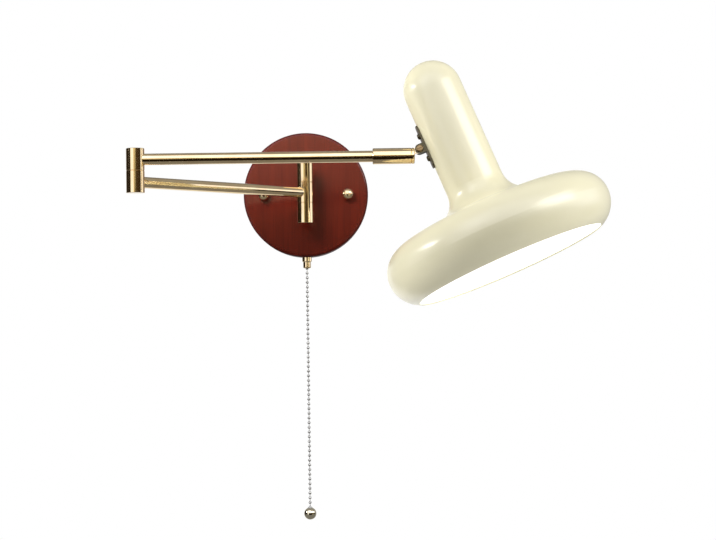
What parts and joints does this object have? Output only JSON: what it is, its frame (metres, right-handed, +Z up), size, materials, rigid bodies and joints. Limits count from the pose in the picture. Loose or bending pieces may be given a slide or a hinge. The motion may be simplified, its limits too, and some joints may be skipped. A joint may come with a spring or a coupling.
{
  "type": "swing arm wall lamp",
  "caption": "Wall lamp with a round wooden canopy, hinged brass swing arms, a tilting enamelled shade with an opal disc, and a bead pull chain.",
  "frame": {"origin": "centre of the canopy's back, on the wall, midway between the two wall screws", "axes": "+X to the right along the wall, +Y into the wall, +Z up; the lamp stands out along -Y"},
  "size_m": [0.4186, 0.3108, 0.4221],
  "materials": {
    "canopy_wood": "stained and lacquered",
    "brass": "satin lacquer",
    "dark_brass": "bronzed",
    "shade_paint": "gloss enamel",
    "opal": "opal",
    "zinc_steel": "zinc plated",
    "terminal_plastic": "moulded",
    "holder_plastic": "moulded",
    "bulb_glass": "frosted",
    "bead_chain": "nickel plated"
  },
  "bodies": {
    "wall_mount": {"wall_bracket": "zinc_steel", "bracket_studs": "zinc_steel", "stud_nuts": "zinc_steel", "terminal_block": "terminal_plastic", "canopy": "canopy_wood", "cap_nuts": "brass", "shoulder_upper_knuckle": "brass", "shoulder_lower_knuckle": "brass", "knuckle_nuts": "zinc_steel", "shoulder_pin": "zinc_steel", "shoulder_washers": "brass", "switch_body": "holder_plastic", "switch_nozzle": "brass", "switch_ferrule": "brass"},
    "lower_arm": {"shoulder_hub": "brass", "lower_arm_tube": "brass", "elbow_lower_barrel": "brass", "elbow_pin": "zinc_steel", "elbow_washer": "brass", "pin_set_screw": "zinc_steel"},
    "upper_arm": {"elbow_upper_barrel": "brass", "elbow_keeper_screw": "zinc_steel", "upper_arm_tube": "brass", "swivel_spigot": "brass"},
    "sleeve": {"swivel_sleeve": "brass", "swivel_stop_screw": "zinc_steel"},
    "head": {"head_plate": "dark_brass", "plate_screws": "dark_brass", "plate_nuts": "zinc_steel", "tilt_screw": "dark_brass", "tilt_nut": "dark_brass", "shade": "shade_paint", "diffuser": "opal", "holder_bracket": "zinc_steel", "holder_nipple": "zinc_steel", "nipple_nut": "zinc_steel", "lamp_holder": "holder_plastic", "bulb_cap": "zinc_steel", "bulb_globe": "bulb_glass"},
    "pull": {"switch_plunger": "holder_plastic", "pull_chain": "bead_chain", "chain_bell": "bead_chain", "chain_ball": "bead_chain"}
  },
  "joints": [
    {"name": "shoulder_swing", "type": "hinge", "parent": "wall_mount", "child": "lower_arm", "pos_m": [0, -0.053, 0], "axis": [0, 0, 1], "range_deg": [-40, 130]},
    {"name": "elbow_swing", "type": "hinge", "parent": "lower_arm", "child": "upper_arm", "pos_m": [-0.14339, -0.19993, 0.0196], "axis": [0, 0, 1], "range_deg": [-180, 0]},
    {"name": "head_swivel", "type": "hinge", "parent": "upper_arm", "child": "sleeve", "pos_m": [-0.14339, -0.19993, 0.0196], "axis": [1, 0, 0], "range_deg": [-60, 20]},
    {"name": "head_tilt", "type": "hinge", "parent": "sleeve", "child": "head", "pos_m": [0.10382, -0.19925, 0.02516], "axis": [0, -0.9925, 0.1219], "range_deg": [-35, 35]},
    {"name": "chain_pull", "type": "slide", "parent": "wall_mount", "child": "pull", "axis": [0, 0, -1], "range_m": [0, 0.007], "stiffness_N_per_m": 600, "springref_m": -0.005}
  ]
}
